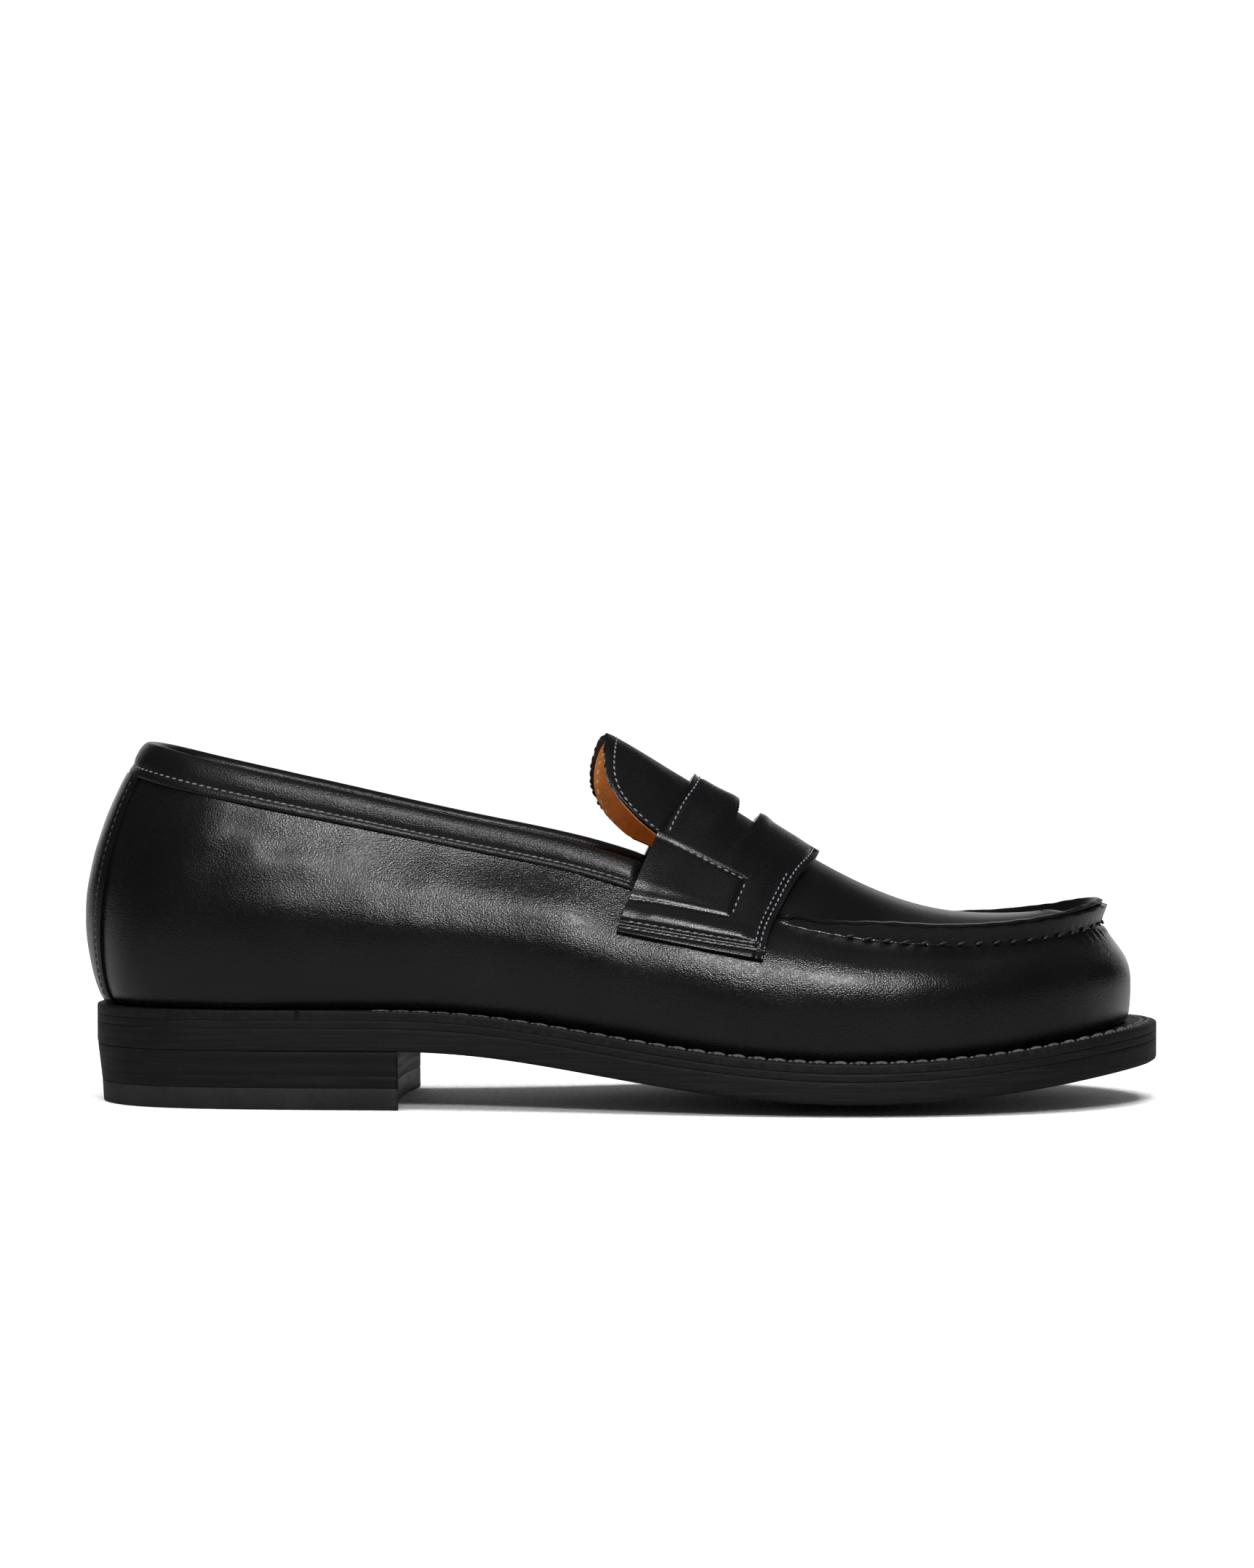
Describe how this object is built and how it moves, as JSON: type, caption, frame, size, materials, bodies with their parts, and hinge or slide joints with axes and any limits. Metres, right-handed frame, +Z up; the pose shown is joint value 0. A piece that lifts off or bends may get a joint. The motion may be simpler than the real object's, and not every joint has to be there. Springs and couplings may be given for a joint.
{
  "type": "penny loafer shoe",
  "caption": "Black leather penny loafer, right foot: welted sole, stacked heel, raised apron seam, saddle strap with slot, and a free tongue that lifts.",
  "frame": {"origin": "On the ground plane, at the middle of the shoe's length and width.", "axes": "+X towards the toe, +Y towards the inner side of the foot, +Z up. The outer side of the foot faces -Y."},
  "size_m": [0.2968, 0.1066, 0.1015],
  "materials": {
    "calf_black": "smooth calf with a fine pebble grain, polished to a soft shine",
    "lining_black": "grained black lining leather, satin",
    "tan_leather": "vegetable tanned lining leather, satin",
    "natural_leather": "plain insole leather, matt",
    "sole_edge": "black inked sole leather, dull with fine lengthwise fibres",
    "rubber": "matt black rubber",
    "canvas": "woven cotton, matt",
    "cork": "cork crumb, matt",
    "steel": "brushed spring steel",
    "nails": "plain brass nails",
    "stiffener": "pressed leather board, matt",
    "welt_thread": "waxed dark grey thread",
    "inseam_thread": "waxed linen thread",
    "grey_thread": "waxed blue-grey thread",
    "black_thread": "waxed black thread"
  },
  "bodies": {
    "shoe": {"outsole": "sole_edge", "midsole": "sole_edge", "welt": "sole_edge", "heel_rand": "sole_edge", "welt_stitching": "welt_thread", "insole": "natural_leather", "insole_rib": "canvas", "inseam_thread": "inseam_thread", "cork_filler": "cork", "shank": "steel", "heel_lift_upper": "sole_edge", "heel_lift_middle": "sole_edge", "heel_lift_lower": "sole_edge", "top_lift": "rubber", "heel_nails": "nails", "sock_lining": "tan_leather", "side_wall": "calf_black", "apron": "calf_black", "saddle_strap": "calf_black", "topline_collar": "calf_black", "back_strip": "calf_black", "quarter_lining": "lining_black", "vamp_lining": "canvas", "heel_counter": "stiffener", "toe_puff": "stiffener", "apron_seam_thread": "black_thread", "strap_thread": "grey_thread", "collar_thread": "grey_thread", "back_strip_thread": "black_thread"},
    "tongue": {"tongue": "calf_black", "tongue_lining": "tan_leather", "tongue_thread": "grey_thread"}
  },
  "joints": [
    {"name": "tongue_flex", "type": "hinge", "parent": "shoe", "child": "tongue", "pos_m": [0.02, 0, 0.0868], "axis": [0, 1, 0], "range_deg": [-3, 25], "stiffness_Nm_per_rad": 0.1}
  ]
}
